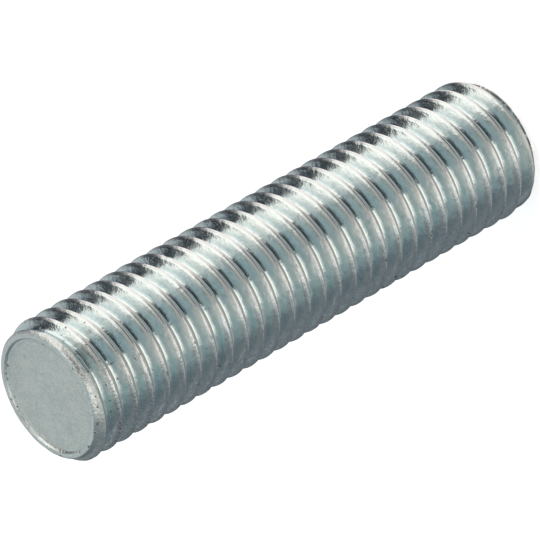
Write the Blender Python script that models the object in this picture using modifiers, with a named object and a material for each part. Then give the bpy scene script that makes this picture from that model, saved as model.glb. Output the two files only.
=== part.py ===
"""Threaded rod: a short length of steel bar with a metric thread rolled along all of it.

The rod stands on one end. Its axis is +Z and its origin is at the middle of the lower end.

It is made as the real one is. A plain bar with rounded and bevelled ends sets the length and the
shape of the ends, and its top end is slightly dished. The thread is one right-hand groove rolled
along it. The dies don't reach the last part of each end, so a short collar of the bar's own
diameter is left there, and the thread rises out of it.
"""

import math

import bmesh
import bpy
from mathutils import Matrix

# Driving sizes, in metres.
THREAD_DIAMETER = 0.014
THREAD_PITCH = 0.002
ROD_LENGTH = 0.0575

# How far the first crest lies below the top end, on the -Y side.
FIRST_CREST_DEPTH = 0.00052

# Half of the angle between the thread's flanks.
FLANK_ANGLE = math.radians(30)

# The ends, from the bevel inwards: a bevel, a rounded shoulder, a flat lip and the dish's wall.
BEVEL_WIDTH = 0.0005
BEVEL_ANGLE = math.radians(45)
SHOULDER_WIDTH = 0.0006
SHOULDER_DROP = 0.0004
LIP_WIDTH = 0.0004
DISH_WALL_WIDTH = 0.0002
DISH_DEPTH = 0.0002

# The unrolled collar at each end, and the slope from it down to the bottom of the groove.
COLLAR_LENGTH = 0.0007
RUN_OUT_ANGLE = math.radians(30)

# Facets round the rod and across each shoulder, and how near two points are taken for one.
SEGMENTS = 36
SHOULDER_STEPS = 3
WELD_DISTANCE = 0.000001

# A standard metric thread: its crest is a flat and its root an arc, both set by the pitch.
CREST_RADIUS = THREAD_DIAMETER / 2
SHARP_V_HEIGHT = THREAD_PITCH / (2 * math.tan(FLANK_ANGLE))
CREST_FLAT = THREAD_PITCH / 8
ROOT_ARC_RADIUS = SHARP_V_HEIGHT / 6
ROOT_HALF_WIDTH = ROOT_ARC_RADIUS * math.cos(FLANK_ANGLE)
ROOT_SAG = ROOT_ARC_RADIUS * (1 - math.sin(FLANK_ANGLE))
FLANK_WIDTH = (THREAD_PITCH - CREST_FLAT) / 2 - ROOT_HALF_WIDTH
FLANK_FOOT_RADIUS = CREST_RADIUS - FLANK_WIDTH / math.tan(FLANK_ANGLE)
ROOT_RADIUS = FLANK_FOOT_RADIUS - ROOT_SAG

# The bar before rolling has the thread's pitch diameter.
BAR_RADIUS = CREST_RADIUS - SHARP_V_HEIGHT * 3 / 8

# The bevel runs out past the crests, so that the side of the cutting shape stays clear of them.
SIDE_CLEARANCE = THREAD_PITCH
SHOULDER_RADIUS = CREST_RADIUS - BEVEL_WIDTH
SHOULDER_TOP_RADIUS = SHOULDER_RADIUS - SHOULDER_WIDTH
DISH_RADIUS = SHOULDER_TOP_RADIUS - LIP_WIDTH - DISH_WALL_WIDTH


def clear_scene():
    """Start from an empty scene."""
    for obj in list(bpy.data.objects):
        bpy.data.objects.remove(obj, do_unlink=True)


def new_collection(name):
    """A collection linked to the scene."""
    collection = bpy.data.collections.new(name)
    bpy.context.scene.collection.children.link(collection)
    return collection


def zinc_plated_steel():
    """Bright zinc plating over steel: bluish white and half gloss."""
    material = bpy.data.materials.new("zinc_plated_steel")
    material.use_nodes = True
    shader = material.node_tree.nodes["Principled BSDF"]
    shader.inputs["Base Color"].default_value = (0.58, 0.63, 0.63, 1.0)
    shader.inputs["Metallic"].default_value = 1.0
    shader.inputs["Roughness"].default_value = 0.32
    return material


def swept_profile(name, points, collection, rise=0.0, turns=1):
    """Sweep (radius, height) points, listed from top to bottom, about Z. Each turn climbs by rise."""
    mesh = bpy.data.meshes.new(name)
    verts = [(radius, 0.0, height) for radius, height in points]
    mesh.from_pydata(verts, [(i, i + 1) for i in range(len(verts) - 1)], [])
    obj = bpy.data.objects.new(name, mesh)
    collection.objects.link(obj)

    modifier = obj.modifiers.new("Screw", "SCREW")
    modifier.angle = math.tau
    modifier.screw_offset = rise
    modifier.iterations = turns
    modifier.steps = SEGMENTS
    modifier.render_steps = SEGMENTS
    modifier.use_merge_vertices = True
    modifier.merge_threshold = WELD_DISTANCE
    return obj


def turned_helper(name, points, collection):
    """A hidden solid of revolution that another solid is cut to or joined with."""
    obj = swept_profile(name, points, collection)
    obj.hide_render = True
    obj.display_type = "WIRE"
    return obj


def end_profile(dish_depth):
    """(radius, depth below the end) of an end of the bar, from the axis outwards."""
    points = [(0.0, dish_depth)]
    if dish_depth > 0:
        points.append((DISH_RADIUS, dish_depth))
        points.append((DISH_RADIUS + DISH_WALL_WIDTH, 0.0))
    for step in range(SHOULDER_STEPS + 1):
        angle = math.pi / 2 * step / SHOULDER_STEPS
        radius = SHOULDER_TOP_RADIUS + SHOULDER_WIDTH * math.sin(angle)
        points.append((radius, SHOULDER_DROP * (1 - math.cos(angle))))
    bevel_drop = (BEVEL_WIDTH + SIDE_CLEARANCE) * math.tan(BEVEL_ANGLE)
    points.append((CREST_RADIUS + SIDE_CLEARANCE, SHOULDER_DROP + bevel_drop))
    return points


def finished_outline(collection):
    """The shape that the thread is cut to: a dished top, a flat bottom, and bevels at both."""
    top = [(radius, ROD_LENGTH - depth) for radius, depth in end_profile(DISH_DEPTH)]
    bottom = [(radius, depth) for radius, depth in reversed(end_profile(0.0))]
    return turned_helper("finished_outline", top + bottom, collection)


def collar_profile():
    """(radius, depth below the end) of a collar, which starts outside the end and tapers inwards."""
    # The taper ends inside the core, so that its tip shows nowhere.
    tip_radius = ROOT_RADIUS - ROOT_SAG
    tip_depth = COLLAR_LENGTH + (BAR_RADIUS - tip_radius) / math.tan(RUN_OUT_ANGLE)
    return [
        (0.0, -SIDE_CLEARANCE),
        (BAR_RADIUS, -SIDE_CLEARANCE),
        (BAR_RADIUS, COLLAR_LENGTH),
        (tip_radius, tip_depth),
        (0.0, tip_depth),
    ]


def collars(collection):
    """The unrolled stretch of bar at each end."""
    top = [(radius, ROD_LENGTH - depth) for radius, depth in collar_profile()]
    bottom = [(radius, depth) for radius, depth in reversed(collar_profile())]
    return [
        turned_helper("top_collar", top, collection),
        turned_helper("bottom_collar", bottom, collection),
    ]


def thread_profile():
    """One pitch of the thread, from the middle of one root down over a crest to the next root."""
    half = THREAD_PITCH / 2
    return [
        (ROOT_RADIUS, half),
        (FLANK_FOOT_RADIUS, half - ROOT_HALF_WIDTH),
        (CREST_RADIUS, CREST_FLAT / 2),
        (CREST_RADIUS, -CREST_FLAT / 2),
        (FLANK_FOOT_RADIUS, ROOT_HALF_WIDTH - half),
        (ROOT_RADIUS, -half),
    ]


def close_end(bm, edges, height):
    """Close one open end of the thread with a cone to this height on the axis."""
    made = bmesh.ops.extrude_edge_only(bm, edges=edges)["geom"]
    tip = [item for item in made if isinstance(item, bmesh.types.BMVert)]
    bmesh.ops.pointmerge(bm, verts=tip, merge_co=(0.0, 0.0, height))


def threaded_core(name, collection):
    """The right-hand thread as one closed solid, some turns longer than the rod at both ends."""
    spare_turns = 2
    turns = math.ceil(ROD_LENGTH / THREAD_PITCH) + 2 * spare_turns
    obj = swept_profile(name, thread_profile(), collection, THREAD_PITCH, turns)
    graph = bpy.context.evaluated_depsgraph_get()
    mesh = bpy.data.meshes.new_from_object(obj.evaluated_get(graph))
    obj.modifiers.clear()
    obj.data = mesh

    # A crest starts at height 0 on the +X side, and is a quarter pitch lower on the -Y side.
    top_crest = ROD_LENGTH - FIRST_CREST_DEPTH
    lift = top_crest + THREAD_PITCH / 4 - (turns - spare_turns) * THREAD_PITCH
    bm = bmesh.new()
    bm.from_mesh(mesh)
    bmesh.ops.remove_doubles(bm, verts=bm.verts, dist=WELD_DISTANCE)
    bmesh.ops.transform(bm, matrix=Matrix.Translation((0.0, 0.0, lift)), verts=bm.verts)
    open_edges = [edge for edge in bm.edges if edge.is_boundary]
    lower = [edge for edge in open_edges if edge.verts[0].co.z < ROD_LENGTH / 2]
    upper = [edge for edge in open_edges if edge.verts[0].co.z > ROD_LENGTH / 2]
    close_end(bm, lower, lift - THREAD_PITCH)
    close_end(bm, upper, lift + (turns + 1) * THREAD_PITCH)
    bmesh.ops.recalc_face_normals(bm, faces=bm.faces)
    bm.to_mesh(mesh)
    bm.free()
    return obj


def add_boolean(obj, operation, other):
    """Join the object with another solid, or keep only what lies inside the other."""
    modifier = obj.modifiers.new(operation.title() + " " + other.name, "BOOLEAN")
    modifier.operation = operation
    modifier.solver = "EXACT"
    modifier.object = other


def threaded_rod(parts, helpers):
    """The rod: the thread with its two collars, cut to the finished length and ends."""
    rod = threaded_core("threaded_rod", parts)
    for collar in collars(helpers):
        add_boolean(rod, "UNION", collar)
    add_boolean(rod, "INTERSECT", finished_outline(helpers))
    weld = rod.modifiers.new("Weld", "WELD")
    weld.merge_threshold = WELD_DISTANCE
    rod.data.materials.append(zinc_plated_steel())
    rod.data.shade_smooth()
    rod.data.set_sharp_from_angle(angle=math.radians(28))
    return rod


clear_scene()
threaded_rod(new_collection("Threaded rod"), new_collection("Cutters"))
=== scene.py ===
import math

import bpy
from mathutils import Matrix, Vector


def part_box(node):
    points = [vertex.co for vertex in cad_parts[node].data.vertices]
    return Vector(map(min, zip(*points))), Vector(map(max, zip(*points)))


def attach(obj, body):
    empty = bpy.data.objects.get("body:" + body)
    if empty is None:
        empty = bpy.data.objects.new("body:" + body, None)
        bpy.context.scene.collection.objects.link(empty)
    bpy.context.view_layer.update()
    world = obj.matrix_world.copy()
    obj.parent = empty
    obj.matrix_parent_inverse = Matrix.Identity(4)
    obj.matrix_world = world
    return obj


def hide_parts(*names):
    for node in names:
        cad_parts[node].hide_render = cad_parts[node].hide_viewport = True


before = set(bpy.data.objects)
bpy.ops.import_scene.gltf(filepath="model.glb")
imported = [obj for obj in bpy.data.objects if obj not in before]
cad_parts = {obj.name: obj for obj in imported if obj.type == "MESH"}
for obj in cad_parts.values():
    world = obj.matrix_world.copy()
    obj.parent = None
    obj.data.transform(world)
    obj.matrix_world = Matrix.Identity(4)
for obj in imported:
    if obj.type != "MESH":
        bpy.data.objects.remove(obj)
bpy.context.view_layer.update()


# ---- Camera ---------------------------------------------------------------------------------
# A long lens from well back, so that the rod keeps nearly the same width along its length.
# It looks down past the top end, and it is rolled so that the rod lies slantwise across the
# frame with its top end lower left.

rod_low, rod_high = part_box("threaded_rod")
ROD_LENGTH = rod_high[2] - rod_low[2]
CREST_RADIUS = (rod_high[0] - rod_low[0]) / 2

LENS_MM = 445.2
CAMERA_DISTANCE = 0.6223
CAMERA_ELEVATION = math.radians(34.449)
# Where the rod's top end points on the frame, anticlockwise from the frame's right.
AXIS_ON_FRAME = math.radians(209.824)
AIM_BELOW_TOP = 0.028084
FRAME_SHIFT = (0.0033, -0.0008)
CLIP_START = 0.01

back = Vector((0, -math.cos(CAMERA_ELEVATION), math.sin(CAMERA_ELEVATION)))
axis_seen = (Vector((0, 0, 1)) - back * back.z).normalized()
side_seen = axis_seen.cross(back).normalized()
frame_right = axis_seen * math.cos(AXIS_ON_FRAME) + side_seen * math.sin(AXIS_ON_FRAME)
frame_up = axis_seen * math.sin(AXIS_ON_FRAME) - side_seen * math.cos(AXIS_ON_FRAME)

camera_data = bpy.data.cameras.new("camera")
camera_data.lens = LENS_MM
camera_data.clip_start = CLIP_START
camera_data.shift_x, camera_data.shift_y = FRAME_SHIFT
camera = bpy.data.objects.new("camera", camera_data)
aim = Vector((0, 0, ROD_LENGTH - AIM_BELOW_TOP))
turned = Matrix((frame_right, frame_up, back)).transposed().to_4x4()
camera.matrix_world = Matrix.Translation(aim + back * CAMERA_DISTANCE) @ turned
bpy.context.scene.collection.objects.link(camera)
bpy.context.scene.camera = camera


# ---- The threaded rod -----------------------------------------------------------------------
# One short length of steel bar, zinc plated. Its ends are rounded and bevelled. Its thread is
# rolled between dies, which leave a short plain collar at each end and a dish in the top face.

THREAD_PITCH = 0.002
FLANK_ANGLE = math.radians(30)
# The first crest is measured on the camera's side, three quarters of a turn round from +X.
CAMERA_SIDE_TURN = 0.75
ROD_SIZES = {
    "Length": ROD_LENGTH,
    "Crest radius": CREST_RADIUS,
    "Pitch": THREAD_PITCH,
    "First crest depth": 0.00052,
    "Bevel width": 0.0005,
    "Shoulder width": 0.0006,
    "Shoulder drop": 0.0004,
    "Lip width": 0.0001,
    "Lip slope": 1.2,
    "Dish wall width": 0.0005,
    "Dish wall slope": 0.2,
    "Dish depth": 0.00028,
    "Crease width": 0.00014,
    "Crease depth": 0.00005,
    "Collar length": 0.0007,
    "Crest width": 0.00017,
    "Crest rounding": 0.00005,
    "Root radius": 0.00037,
    "Worn edge": 0.00005,
    "Crest wear": 0.00003,
    "Crest ripple": 0.000012,
    "Dent depth": 0.00008,
    "Face roughness": 0.00003,
}
ROD_COUNTS = {"Rows a turn": 20, "Columns": 144, "Cap rows": 48, "Wear seed": 3}
SPARE_TURNS = 2
RIM_ANGLE = math.radians(30)
WELD_DISTANCE = 0.000001


class Field:
    """A number that a node tree works out at each point, written as arithmetic."""

    def __init__(self, tree, socket):
        self.tree = tree
        self.socket = socket

    def put(self, socket, value):
        """Give a socket another field or a plain number."""
        if isinstance(value, Field):
            self.tree.links.new(value.socket, socket)
        else:
            socket.default_value = value

    def op(self, operation, *values):
        """A Math node with these values on its inputs."""
        node = self.tree.nodes.new("ShaderNodeMath")
        node.operation = operation
        for socket, value in zip(node.inputs, values):
            self.put(socket, value)
        return Field(self.tree, node.outputs[0])

    def __add__(self, other):
        return self.op("ADD", self, other)

    def __radd__(self, other):
        return self.op("ADD", other, self)

    def __sub__(self, other):
        return self.op("SUBTRACT", self, other)

    def __rsub__(self, other):
        return self.op("SUBTRACT", other, self)

    def __mul__(self, other):
        return self.op("MULTIPLY", self, other)

    def __truediv__(self, other):
        return self.op("DIVIDE", self, other)

    def __rtruediv__(self, other):
        return self.op("DIVIDE", other, self)

    def least(self, other):
        return self.op("MINIMUM", self, other)

    def most(self, other):
        return self.op("MAXIMUM", self, other)

    def size(self):
        return self.op("ABSOLUTE", self)

    def root(self):
        return self.op("SQRT", self.most(0.0))

    def sine(self):
        return self.op("SINE", self)

    def cosine(self):
        return self.op("COSINE", self)

    def step(self, low, high, at_low=0.0, at_high=1.0):
        """A soft step from at_low to at_high as this number goes from low to high."""
        node = self.tree.nodes.new("ShaderNodeMapRange")
        node.interpolation_type = "SMOOTHSTEP"
        for socket, value in zip(node.inputs, (self, low, high, at_low, at_high)):
            self.put(socket, value)
        return Field(self.tree, node.outputs["Result"])


def flat_grid(tree, rows, columns):
    """A grid, and the share of the way along its rows and round its columns at each point."""
    grid = tree.nodes.new("GeometryNodeMeshGrid")
    grid.inputs["Size X"].default_value = 1.0
    grid.inputs["Size Y"].default_value = 1.0
    tree.links.new((rows + 1.0).socket, grid.inputs["Vertices X"])
    tree.links.new((columns + 1.0).socket, grid.inputs["Vertices Y"])
    place = tree.nodes.new("ShaderNodeSeparateXYZ")
    tree.links.new(tree.nodes.new("GeometryNodeInputPosition").outputs[0], place.inputs[0])
    along = Field(tree, place.outputs["X"]) + 0.5
    around = Field(tree, place.outputs["Y"]) + 0.5
    return grid.outputs["Mesh"], along, around


def round_axis(tree, radius, turn, height):
    """The place at a radius from the axis, a share of a turn round it and a height."""
    angle = turn * math.tau
    place = tree.nodes.new("ShaderNodeCombineXYZ")
    tree.links.new((radius * angle.cosine()).socket, place.inputs["X"])
    tree.links.new((radius * angle.sine()).socket, place.inputs["Y"])
    tree.links.new(height.socket, place.inputs["Z"])
    return place.outputs[0]


def rolled_up(tree, mesh, place, facing_in):
    """Move a grid's points to their places, and turn its faces if they would face in."""
    move = tree.nodes.new("GeometryNodeSetPosition")
    tree.links.new(mesh, move.inputs["Geometry"])
    tree.links.new(place, move.inputs["Position"])
    if not facing_in:
        return move.outputs["Geometry"]
    flip = tree.nodes.new("GeometryNodeFlipFaces")
    tree.links.new(move.outputs["Geometry"], flip.inputs["Mesh"])
    return flip.outputs["Mesh"]


def moved_far(tree, place, seed):
    """A place moved by a whole number of metres, so that each seed gives other noise."""
    move = tree.nodes.new("ShaderNodeVectorMath")
    tree.links.new(place, move.inputs[0])
    tree.links.new(seed.socket, move.inputs[1])
    return move.outputs[0]


def noise(tree, place, scale, detail, w=None):
    """Noise from 0 to 1, with about this many lumps to the metre, or in four dimensions with w."""
    node = tree.nodes.new("ShaderNodeTexNoise")
    tree.links.new(place, node.inputs["Vector"])
    node.inputs["Scale"].default_value = scale
    node.inputs["Detail"].default_value = detail
    if w is not None:
        node.noise_dimensions = "4D"
        tree.links.new(w.socket, node.inputs["W"])
    return Field(tree, node.outputs["Fac"])


def specks(tree, place, scale, size, share, ragged=0.0):
    """Specks of a size, in metres, in this share of the cells of a loose grid."""
    node = tree.nodes.new("ShaderNodeTexVoronoi")
    tree.links.new(place, node.inputs["Vector"])
    node.inputs["Scale"].default_value = scale
    cell = tree.nodes.new("ShaderNodeSeparateXYZ")
    tree.links.new(node.outputs["Color"], cell.inputs[0])
    chosen = Field(tree, cell.outputs["X"])
    grown = Field(tree, cell.outputs["Y"]) * 0.6 + 0.4
    near = Field(tree, node.outputs["Distance"]) / (grown * (size * scale)) + ragged
    return near.step(1.0, 0.6) * chosen.op("LESS_THAN", chosen, share)


def rod_tree():
    """The node tree that rolls the thread and shapes both ends."""
    tree = bpy.data.node_groups.new("rolled_rod", "GeometryNodeTree")
    tree.interface.new_socket("Geometry", in_out="OUTPUT", socket_type="NodeSocketGeometry")
    for name in ROD_SIZES:
        tree.interface.new_socket(name, in_out="INPUT", socket_type="NodeSocketFloat")
    for name in ROD_COUNTS:
        tree.interface.new_socket(name, in_out="INPUT", socket_type="NodeSocketInt")
    tree.interface.new_socket("Material", in_out="INPUT", socket_type="NodeSocketMaterial")
    given = tree.nodes.new("NodeGroupInput")
    size = {name: Field(tree, given.outputs[name]) for name in (*ROD_SIZES, *ROD_COUNTS)}
    length = size["Length"]
    crest = size["Crest radius"]
    pitch = size["Pitch"]
    worn = size["Worn edge"]
    columns = size["Columns"]

    # The thread's form: a narrow crest, straight flanks and an arc at the root. The bar before
    # rolling has the pitch radius, three eighths of the sharp thread's height below the crest.
    slope = math.tan(FLANK_ANGLE)
    arc = size["Root radius"]
    arc_half = arc * math.cos(FLANK_ANGLE)
    crest_half = size["Crest width"] / 2
    flank_foot = crest - (pitch / 2 - crest_half - arc_half) / slope
    root = flank_foot - arc * (1 - math.sin(FLANK_ANGLE))
    bar = crest - pitch / slope * (3 / 16)

    # The end faces reach part of the way down the rounded shoulder, to the rim.
    shoulder_top = crest - size["Bevel width"] - size["Shoulder width"]
    rim = shoulder_top + size["Shoulder width"] * math.sin(RIM_ANGLE)
    rim_depth = size["Shoulder drop"] * (1 - math.cos(RIM_ANGLE))

    # Rows of points run along the helix and crowd together at its crests and its roots.
    turns = (length / pitch).op("CEIL", length / pitch) + SPARE_TURNS
    mesh, along, around = flat_grid(tree, turns * size["Rows a turn"], columns)
    row = along * turns + 0.5 / size["Rows a turn"]
    lead = row - SPARE_TURNS - (row * (4 * math.pi)).sine() / 16
    first = (length - size["First crest depth"]) / pitch - CAMERA_SIDE_TURN
    start = first - first.op("FLOOR", first)
    height = ((start + around + lead) * pitch).most(rim_depth).least(length - rim_depth)
    phase = height / pitch - start - around
    reach = (phase - phase.op("ROUND", phase)).size() * pitch
    flank = crest - (reach - crest_half) / slope
    inner = (pitch / 2 - reach).least(arc_half)
    groove = root + arc - (arc * arc - inner * inner).root()
    thread = flank.op("SMOOTH_MIN", flank, crest, size["Crest rounding"]).most(groove)

    # The collar and the outline of the ends, by their depth below the nearer end.
    depth = height.least(length - height)
    collar = bar - (depth - size["Collar length"]).most(0.0) * slope
    fall = (1 - depth / size["Shoulder drop"]).most(0.0)
    shoulder = shoulder_top + size["Shoulder width"] * (1 - fall * fall).root()
    outline = shoulder + (depth - size["Shoulder drop"]).most(0.0)
    radius = thread.op("SMOOTH_MAX", thread, collar, worn)
    radius = radius.op("SMOOTH_MIN", radius, outline, worn)

    # Wear: uneven crests, dents in them, and a battered edge round each end.
    spot = moved_far(tree, round_axis(tree, crest, around, height), size["Wear seed"])
    wear = noise(tree, spot, scale=300.0, detail=2.0).step(0.35, 0.75) * size["Crest wear"]
    wear = wear + noise(tree, spot, scale=1500.0, detail=1.0) * size["Crest ripple"]
    dents = specks(tree, spot, scale=380.0, size=0.00045, share=0.16)
    wear = wear + dents * size["Dent depth"]
    near_crest = reach.step(0.00045, 0.0001)
    past_collar = depth.step(0.0005, 0.0012)
    end_edge = depth.step(rim_depth, rim_depth + 0.0003) * depth.step(0.0016, 0.0008)
    battered = noise(tree, spot, scale=700.0, detail=2.0).step(0.45, 0.75)
    battered = battered * size["Dent depth"] * end_edge * 0.6
    radius = radius - wear * near_crest * past_collar - battered
    parts = [rolled_up(tree, mesh, round_axis(tree, radius, around, height), True)]

    # The end faces, from the axis out to the rim: the top one is dished, the other is flat.
    for at_top in (True, False):
        mesh, along, around = flat_grid(tree, size["Cap rows"], columns)
        out = along.root() * rim
        bend = (out - shoulder_top).most(0.0) / size["Shoulder width"]
        depth = size["Shoulder drop"] * (1 - (1 - bend * bend).root())
        if at_top:
            lip = shoulder_top - size["Lip width"]
            foot = lip - size["Dish wall width"]
            wall = (lip - out) * size["Lip slope"]
            dish = size["Dish depth"] - (out - foot).most(0.0) * size["Dish wall slope"]
            depth = depth + wall.op("SMOOTH_MIN", wall, dish, worn).most(0.0)
            past = (out - foot + size["Crease width"]).size()
            crease = past.step(size["Crease width"], 0.0, 0.0, size["Crease depth"])
        spot = moved_far(tree, round_axis(tree, out, around, length), size["Wear seed"])
        if at_top:
            depth = depth + crease * noise(tree, spot, scale=170.0, detail=2.0).step(0.42, 0.58)
        uneven = noise(tree, spot, scale=500.0, detail=3.0) * out.step(rim, rim - 0.0006)
        depth = depth + uneven * size["Face roughness"]
        level = length - depth if at_top else depth
        place = round_axis(tree, out, around, level)
        parts.append(rolled_up(tree, mesh, place, not at_top))

    join = tree.nodes.new("GeometryNodeJoinGeometry")
    for part in parts:
        tree.links.new(part, join.inputs["Geometry"])
    weld = tree.nodes.new("GeometryNodeMergeByDistance")
    weld.inputs["Distance"].default_value = WELD_DISTANCE
    smooth = tree.nodes.new("GeometryNodeSetShadeSmooth")
    real = tree.nodes.new("GeometryNodeRealizeInstances")
    finish = tree.nodes.new("GeometryNodeSetMaterial")
    tree.links.new(given.outputs["Material"], finish.inputs["Material"])
    result = tree.nodes.new("NodeGroupOutput")
    chain = (join, weld, smooth, real, finish, result)
    for before, after in zip(chain, chain[1:]):
        tree.links.new(before.outputs["Geometry"], after.inputs["Geometry"])
    return tree


def tinted(tree, share, first, second):
    """A colour that goes from the first to the second as the share goes from 0 to 1."""
    node = tree.nodes.new("ShaderNodeMix")
    node.data_type = "RGBA"
    sockets = [socket for socket in node.inputs if socket.enabled]
    for socket, value in zip(sockets, (share, first, second)):
        if isinstance(value, Field):
            tree.links.new(value.socket, socket)
        elif isinstance(value, tuple):
            socket.default_value = (*value, 1.0)
        else:
            tree.links.new(value, socket)
    return [socket for socket in node.outputs if socket.enabled][0]


# The zinc's own colours, those of what sits on it or has rubbed it, and those of painted sheen,
# highlights and shade.
ZINC_COLOURS = {
    "flank": (0.69, 0.78, 0.79),
    "painted flank sheen": (0.83, 0.855, 0.835),
    "painted_dark_patches": (0.44, 0.53, 0.58),
    "crest": (0.86, 0.785, 0.79),
    "painted shade beside crest": (0.38, 0.33, 0.29),
    "darker root bottom": (0.60, 0.58, 0.51),
    "bright grit": (0.95, 0.93, 0.88),
    "brown grit": (0.34, 0.28, 0.23),
    "end": (0.71, 0.735, 0.705),
    "bright end": (0.86, 0.865, 0.82),
    "far edge shade": (0.19, 0.15, 0.14),
    "pit": (0.14, 0.10, 0.085),
    "glint": (0.95, 0.95, 0.93),
}
# The dimples' noise is read this much nearer the axis, which draws it out along the thread.
DRAWN_IN = 0.0026
# Fine rings on the flanks: how many to the metre of radius, and lumps to the metre round them.
RINGS = 9000.0
RING_LUMPS = 160.0
BUMP_DISTANCE = 0.00001


def zinc_plating():
    """Bright zinc plating over rolled steel, with its rolling marks, wear, pits and dirt, and
    painted sheen, highlights and shade.
    """
    material = bpy.data.materials.new("zinc_plated_steel")
    material.use_nodes = True
    tree = material.node_tree
    shader = tree.nodes["Principled BSDF"]
    place = tree.nodes.new("ShaderNodeTexCoord").outputs["Object"]
    split = tree.nodes.new("ShaderNodeSeparateXYZ")
    tree.links.new(place, split.inputs[0])
    x, y, z = (Field(tree, split.outputs[name]) for name in "XYZ")
    radius = (x * x + y * y).root()
    depth = z.least(ROD_LENGTH - z)
    first = (ROD_LENGTH - ROD_SIZES["First crest depth"]) / THREAD_PITCH - CAMERA_SIDE_TURN
    phase = z / THREAD_PITCH - (first % 1.0) - y.op("ARCTAN2", y, x) / math.tau

    # Where each sort of surface is: 1 on it, fading to 0 beside it. The reach is how far a point
    # is from the middle of the nearest crest, along the rod.
    reach = (phase - phase.op("ROUND", phase)).size() * THREAD_PITCH
    on_crest = reach.step(0.00012, 0.00008)
    # A thin band beside each crest, where a line of painted shade stands for the dark reflection
    # in the crest's rounded edge.
    shade_beside_crest = reach.step(0.00007, 0.00010) * reach.step(0.00017, 0.00012)
    near_crest = reach.step(0.00024, 0.00012)
    flank = reach.step(0.00012, 0.00025) * reach.step(0.00090, 0.00075)
    face = radius.step(0.00550, 0.00530)
    side = 1 - face
    lip = depth.step(0.0016, 0.0008) * side
    top_turns = z.step(ROD_LENGTH - 0.012, ROD_LENGTH - 0.002)
    # The bottom edge, where an uneven band of painted shade goes.
    far_edge = z.step(0.00088, 0.00072)

    waves = noise(tree, place, scale=450.0, detail=2.0)
    lumps = noise(tree, place, scale=1000.0, detail=3.0)
    grain = noise(tree, place, scale=5200.0, detail=2.0)
    patches = noise(tree, place, scale=300.0, detail=3.0)
    rings = noise(tree, place, scale=RING_LUMPS, detail=1.0, w=radius * (RINGS / RING_LUMPS))
    inward = 1 - DRAWN_IN / radius
    combined = tree.nodes.new("ShaderNodeCombineXYZ")
    for field, socket in zip((x * inward, y * inward, z), combined.inputs):
        tree.links.new(field.socket, socket)
    drawn = combined.outputs[0]
    dimples = noise(tree, drawn, scale=2800.0, detail=2.0)

    # Pits anywhere, more on the first turns below the top end, and most on the crests of -X.
    ragged = (grain - 0.5) * 3.0
    worn_crests = x.step(-0.001, -0.004) * reach.step(0.00030, 0.00015)
    pits = specks(tree, place, scale=2000.0, size=0.00016, share=0.015, ragged=ragged)
    more = specks(tree, place, scale=2200.0, size=0.00017, share=0.25, ragged=ragged)
    pits = pits.most(more * top_turns)
    more = specks(tree, drawn, scale=1600.0, size=0.00019, share=0.45, ragged=ragged)
    pits = pits.most(more * worn_crests)
    # Bright specks anywhere, and more on the lip.
    glints = specks(tree, place, scale=2400.0, size=0.00012, share=0.06, ragged=ragged)
    more = specks(tree, place, scale=2600.0, size=0.00016, share=0.45, ragged=ragged)
    glints = glints.most(more * lip)
    # Fine brown and bright grit where the crests of -X are rubbed, most on the first turns.
    rubbed = x.step(0.0010, -0.0030) * reach.step(0.00036, 0.00014) * (top_turns * 0.6 + 0.4)

    # The flanks: a painted sheen, lighter beside the crests and the roots, mottled, and painted
    # dark bluish patches of reflection.
    # How much painted sheen each point gets: more beside the crests and the roots, with random
    # mottling.
    bright = reach.step(0.00078, 0.00020).most(reach.step(0.00070, 0.00080))
    bright = bright + (patches - 0.5) * 1.2 + (dimples - 0.5) * 0.8
    # Painted shade: dark bluish patches across the flanks that stand for dark clouds in their
    # reflections.
    painted_dark_patches = (dimples * 0.6 + waves * 0.4).step(0.49, 0.38) * reach.step(0.00015, 0.00030)
    struck = (lumps - 0.5) * 1.6 + (waves - 0.5) * 1.0 + (grain - 0.5) * 3.0 + 0.5
    colours = ZINC_COLOURS
    end_zinc = tinted(tree, struck, colours["end"], colours["bright end"])
    colour = tinted(tree, bright, colours["flank"], colours["painted flank sheen"])
    # What lies over the clean zinc, and the painted shade and highlights, from the bottom layer
    # up.
    layers = (
        # Painted shade: dark bluish patches on the flanks.
        (painted_dark_patches * side * 0.28, colours["painted_dark_patches"]),
        # Painted highlight: the crests are coloured light pink to stand for the pink line of
        # reflected light along them.
        (on_crest * lumps.step(0.25, 0.5), colours["crest"]),
        # Painted shade: a thin dark brown line beside each crest.
        (shade_beside_crest * lumps.step(0.3, 0.6) * 0.25, colours["painted shade beside crest"]),
        # The bottom of each root is coloured darker and browner.
        (reach.step(0.00088, 0.00094) * (0.5 + lumps * 0.5) * side, colours["darker root bottom"]),
        (rubbed * grain.step(0.50, 0.38) * 0.6, colours["bright grit"]),
        (rubbed * grain.step(0.51, 0.62) * 0.75, colours["brown grit"]),
        (face.most(lip * 0.7), end_zinc),
        # Painted shade: a dark brown, uneven band along the bottom edge.
        (far_edge * ((lumps + grain) * 0.5).step(0.40, 0.50) * 0.9, colours["far edge shade"]),
        (pits * side * 0.75, colours["pit"]),
        (glints, colours["glint"]),
    )
    for share, over in layers:
        colour = tinted(tree, share, colour, over)
    tree.links.new(colour, shader.inputs["Base Color"])
    shader.inputs["Metallic"].default_value = 1.0

    # Bright flanks, duller crests and pits, and matt end faces.
    rough = 0.09 + flank * 0.05 + lumps * 0.09 + face * 0.36 + lip * 0.12 + pits * 0.2
    rough = rough + near_crest * side * 0.13
    tree.links.new(rough.socket, shader.inputs["Roughness"])

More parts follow.
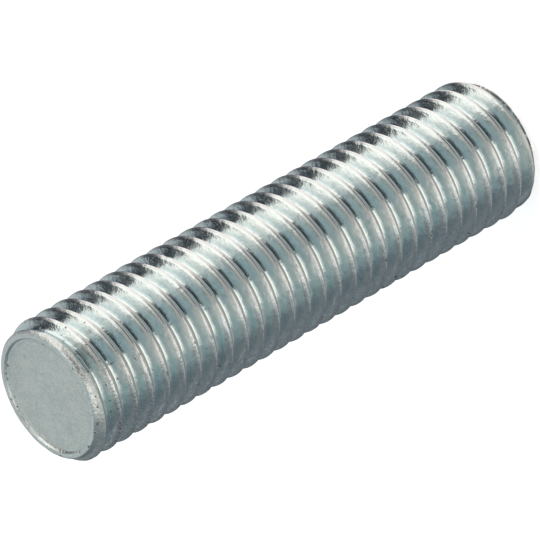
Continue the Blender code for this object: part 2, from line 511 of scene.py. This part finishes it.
    # The heights of the marks, in units of the bump distance.
    height = waves * 4.0 + lumps * (4.0 + lip * 4.0) + dimples * flank * 1.7
    height = height + grain * (0.5 + flank * 0.7 + lip * 5.0 + face * 2.6)
    height = height + rings * side * 0.02 - pits * 1.5
    bump = tree.nodes.new("ShaderNodeBump")
    bump.inputs["Strength"].default_value = 1.0
    bump.inputs["Distance"].default_value = BUMP_DISTANCE
    tree.links.new(height.socket, bump.inputs["Height"])
    tree.links.new(bump.outputs["Normal"], shader.inputs["Normal"])
    return material


def rolled_rod(material):
    """The rod as one plain mesh, made by the node tree."""
    tree = rod_tree()
    maker = bpy.data.objects.new("rod_maker", bpy.data.meshes.new("rod_maker"))
    bpy.context.scene.collection.objects.link(maker)
    modifier = maker.modifiers.new("rolled_rod", "NODES")
    modifier.node_group = tree
    values = {**ROD_SIZES, **ROD_COUNTS, "Material": material}
    for item in tree.interface.items_tree:
        if item.in_out == "INPUT":
            modifier[item.identifier] = values[item.name]
    graph = bpy.context.evaluated_depsgraph_get()
    mesh = bpy.data.meshes.new_from_object(maker.evaluated_get(graph))
    bpy.data.objects.remove(maker)
    rod = bpy.data.objects.new("rod", mesh)
    bpy.context.scene.collection.objects.link(rod)
    return rod


rod = rolled_rod(zinc_plating())
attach(rod, "root")
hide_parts("threaded_rod")


# ---- Floor and light ------------------------------------------------------------------------
# A wide white floor in a plain studio: white walls to the right and at the front left, grey
# ones elsewhere, and a wide grey and white card on the floor that only the metal shows.

FLOOR_HALF = 30.0
FLOOR_COLOUR = (0.8, 0.8, 0.8)
FLOOR_GLOW = 0.7


def matt_paint(name, colour, glow):
    """A matt finish with a white glow that the camera, gloss and glass see, but no lit surface."""
    material = bpy.data.materials.new(name)
    material.use_nodes = True
    tree = material.node_tree
    shader = tree.nodes["Principled BSDF"]
    shader.inputs["Base Color"].default_value = (*colour, 1)
    shader.inputs["Roughness"].default_value = 1.0
    shader.inputs["Specular IOR Level"].default_value = 0.0
    shader.inputs["Emission Color"].default_value = (1, 1, 1, 1)
    rays = tree.nodes.new("ShaderNodeLightPath").outputs
    seen = Field(tree, rays["Is Camera Ray"])
    seen = seen.most(Field(tree, rays["Is Glossy Ray"]))
    seen = seen.most(Field(tree, rays["Is Transmission Ray"]))
    tree.links.new((seen * glow).socket, shader.inputs["Emission Strength"])
    return material


def laid_flat(name, corners, faces, material):
    """A flat thing on the floor, which isn't part of the rod."""
    mesh = bpy.data.meshes.new(name)
    mesh.from_pydata(corners, [], faces)
    mesh.materials.append(material)
    flat = bpy.data.objects.new(name, mesh)
    bpy.context.scene.collection.objects.link(flat)
    return flat


def turn_round(tree, across, along):
    """Degrees round the rod, from the camera's side towards its right."""
    return across.op("ARCTAN2", across, 0 - along) * (180 / math.pi)


def colour_round(tree, turn, stops):
    """A colour that changes softly from stop to stop with the turn round the rod."""
    node = tree.nodes.new("ShaderNodeValToRGB")
    tree.links.new(((turn + 180.0) / 360.0).socket, node.inputs["Fac"])
    band = node.color_ramp
    band.elements.remove(band.elements[1])
    for number, (degrees, colour) in enumerate(stops):
        place = (degrees + 180) / 360
        stop = band.elements.new(place) if number else band.elements[0]
        stop.position = place
        stop.color = (*colour, 1)
    return node.outputs["Color"]


floor_corners = [
    (x * FLOOR_HALF, y * FLOOR_HALF, 0) for x, y in ((-1, -1), (1, -1), (1, 1), (-1, 1))
]
floor_paint = matt_paint("white_floor", FLOOR_COLOUR, FLOOR_GLOW)
laid_flat("floor", floor_corners, [(0, 1, 2, 3)], floor_paint)

# The card lies just above the floor, round the rod's foot. Its colours go round with the turn.
CARD_HEIGHT = 0.0002
CARD_NEAR = 0.0062
CARD_FAR = 6.0
CARD_SIDES = 60
CARD_GLOW = 1.2
CARD_COLOURS = (
    (-180, (0.30, 0.33, 0.34)),
    (-168, (0.20, 0.23, 0.24)),
    (-156, (0.10, 0.13, 0.145)),
    (-84, (0.13, 0.20, 0.22)),
    (-68, (0.27, 0.37, 0.385)),
    (-52, (0.32, 0.41, 0.415)),
    (-40, (0.41, 0.44, 0.43)),
    (-12, (0.40, 0.43, 0.42)),
    (-2, (0.31, 0.385, 0.41)),
    (24, (0.33, 0.41, 0.435)),
    (37, (0.34, 0.42, 0.44)),
    (47, (0.62, 0.64, 0.64)),
    (70, (0.75, 0.77, 0.76)),
    (84, (1.0, 1.0, 0.98)),
    (102, (0.85, 0.87, 0.88)),
    (110, (0.22, 0.25, 0.28)),
    (118, (0.04, 0.06, 0.11)),
    (132, (0.04, 0.06, 0.11)),
    (148, (0.38, 0.40, 0.41)),
)
card_paint = matt_paint("card", (0, 0, 0), CARD_GLOW)
tree = card_paint.node_tree
split = tree.nodes.new("ShaderNodeSeparateXYZ")
tree.links.new(tree.nodes.new("ShaderNodeTexCoord").outputs["Object"], split.inputs[0])
card_turn = turn_round(tree, Field(tree, split.outputs["X"]), Field(tree, split.outputs["Y"]))
colour = colour_round(tree, card_turn, CARD_COLOURS)
tree.links.new(colour, tree.nodes["Principled BSDF"].inputs["Emission Color"])
card_corners = []
for number in range(CARD_SIDES):
    angle = number * math.tau / CARD_SIDES
    for away in (CARD_NEAR, CARD_FAR):
        card_corners.append((away * math.cos(angle), away * math.sin(angle), CARD_HEIGHT))
count = len(card_corners)
card_faces = [(n, n + 1, (n + 3) % count, (n + 2) % count) for n in range(0, count, 2)]
card = laid_flat("card", card_corners, card_faces, card_paint)
card.visible_camera = False
card.visible_diffuse = False
card.visible_shadow = False

# How brightly each part of the studio glows.
RIGHT_WALL_GLOW = 1.2
FRONT_WALL_TOP_GLOW = 0.6
FRONT_WALL_FOOT_GLOW = 1.18
LEFT_WALL_GLOW = 0.185
LEFT_STRIP_GLOW = 0.36
BACK_WALL_GLOW = 0.55
CEILING_GLOW = 0.39
DARKEST_GLOW = 0.015
WARM_WHITE = (1.0, 1.01, 0.97)
COOL_WHITE = (0.88, 1.0, 1.04)
DARK_BLUE = (0.7, 0.95, 1.35)
PLAIN_WHITE = (1.0, 1.0, 1.0)

world = bpy.data.worlds.new("studio")
bpy.context.scene.world = world
world.use_nodes = True
tree = world.node_tree
background = tree.nodes["Background"]
direction = tree.nodes.new("ShaderNodeSeparateXYZ")
tree.links.new(tree.nodes.new("ShaderNodeTexCoord").outputs["Generated"], direction.inputs[0])
across, along, up = (Field(tree, direction.outputs[name]) for name in "XYZ")

# The walls by their edges, in degrees of the turn round the rod and of the rise to the top.
turn = turn_round(tree, across, along)
rise = up.op("ARCSINE", up) * (180 / math.pi)
below_top = rise.step(78.0, 68.0)
slanting = turn - rise * 0.2
right_wall = turn.step(41.0, 55.0) * slanting.step(111.0, 99.0) * below_top * RIGHT_WALL_GLOW
leaning = turn + rise.step(35.0, 70.0) * 28
front_glow = rise.step(66.0, 50.0, FRONT_WALL_TOP_GLOW, FRONT_WALL_FOOT_GLOW)
front_wall = leaning.step(-74.0, -42.0) * leaning.step(0.0, -7.0) * front_glow * below_top
left_strip = turn.step(-45.0, -60.0) * turn.step(-104.0, -86.0) * LEFT_STRIP_GLOW
left_wall = (turn.step(-45.0, -80.0) * LEFT_WALL_GLOW).most(left_strip)
back_edge = (turn - rise * 0.8).step(-158.0, -172.0)
back_wall = turn.step(128.0, 146.0).most(back_edge) * BACK_WALL_GLOW
lowered = turn.step(-20.0, 0.0) * turn.step(60.0, 41.0) * 10
ceiling = (rise + lowered).step(46.0, 64.0) * CEILING_GLOW
level = right_wall.most(front_wall).most(left_wall).most(back_wall).most(ceiling)
level = level.most(DARKEST_GLOW)
cool = turn.step(-45.0, -75.0).most(turn.step(122.0, 140.0))
tint = tinted(tree, cool, WARM_WHITE, COOL_WHITE)
tint = tinted(tree, level.step(0.25, 0.05), tint, DARK_BLUE)
# Only the metal shows the studio: beyond the floor the camera sees plain white.
direct = Field(tree, tree.nodes.new("ShaderNodeLightPath").outputs["Is Camera Ray"])
tree.links.new((level * (1 - direct) + direct).socket, background.inputs["Strength"])
tree.links.new(tinted(tree, direct, tint, PLAIN_WHITE), background.inputs["Color"])

bpy.context.scene.view_settings.view_transform = "Standard"
